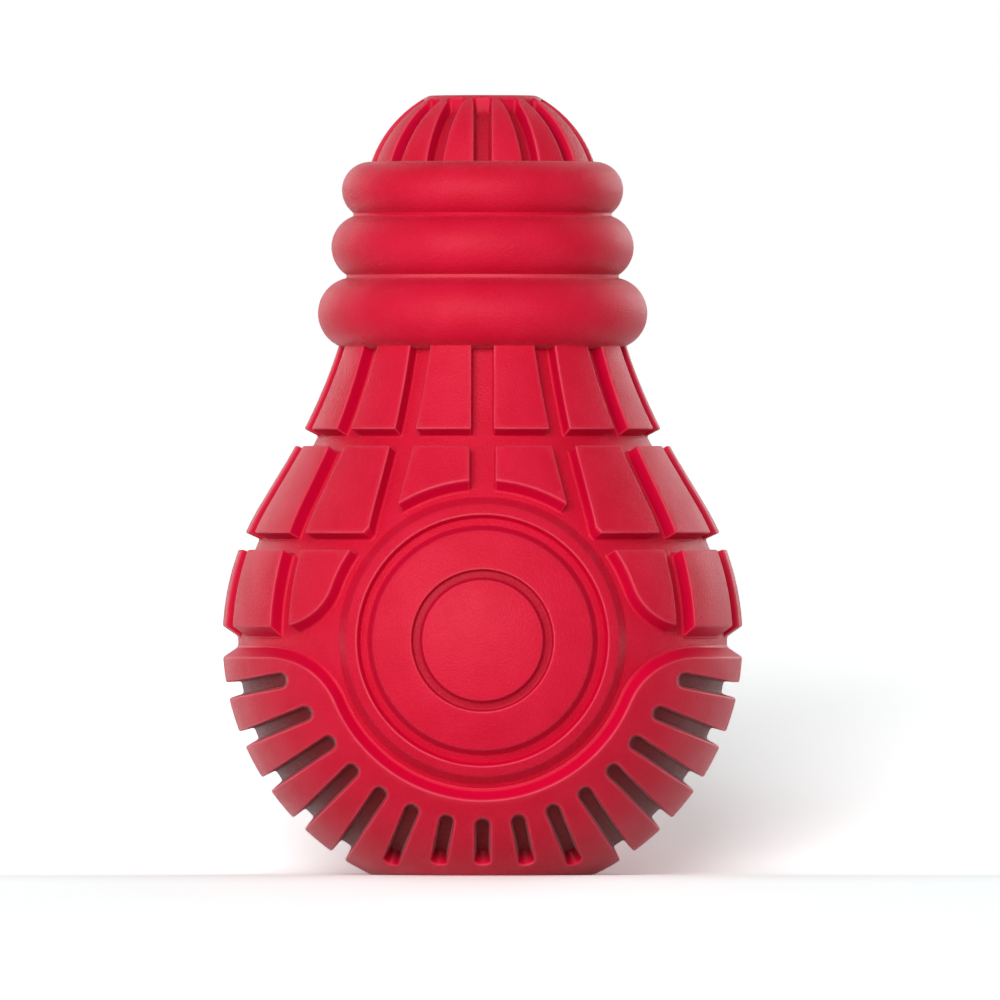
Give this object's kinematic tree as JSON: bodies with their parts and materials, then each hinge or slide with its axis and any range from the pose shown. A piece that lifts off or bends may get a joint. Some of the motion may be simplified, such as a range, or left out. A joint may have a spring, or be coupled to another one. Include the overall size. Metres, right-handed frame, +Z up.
{
  "type": "rubber chew toy",
  "caption": "Hollow rubber dog toy shaped like a light bulb, with tread blocks on the globe, a slotted skirt and a ringed collar, to chew and to stuff with food.",
  "frame": {"origin": "centre of the flat base, on the surface that the toy stands on", "axes": "+Z up through the air hole in the cap, -Y out of the front medallion, +X to the right seen from the front"},
  "size_m": [0.0834, 0.0814, 0.125],
  "materials": {
    "red_rubber": "matte moulded natural rubber with a fine spark-eroded grain"
  },
  "bodies": {
    "root": {"globe_shell": "red_rubber", "base_lip": "red_rubber", "slotted_skirt": "red_rubber", "lower_tread_blocks": "red_rubber", "middle_tread_blocks": "red_rubber", "upper_tread_blocks": "red_rubber", "front_medallion_disc": "red_rubber", "front_medallion_rim": "red_rubber", "rear_medallion_disc": "red_rubber", "rear_medallion_rim": "red_rubber", "neck_core": "red_rubber", "lower_collar_ring": "red_rubber", "middle_collar_ring": "red_rubber", "upper_collar_ring": "red_rubber", "cap_dome": "red_rubber", "cap_ribs": "red_rubber"}
  },
  "joints": []
}
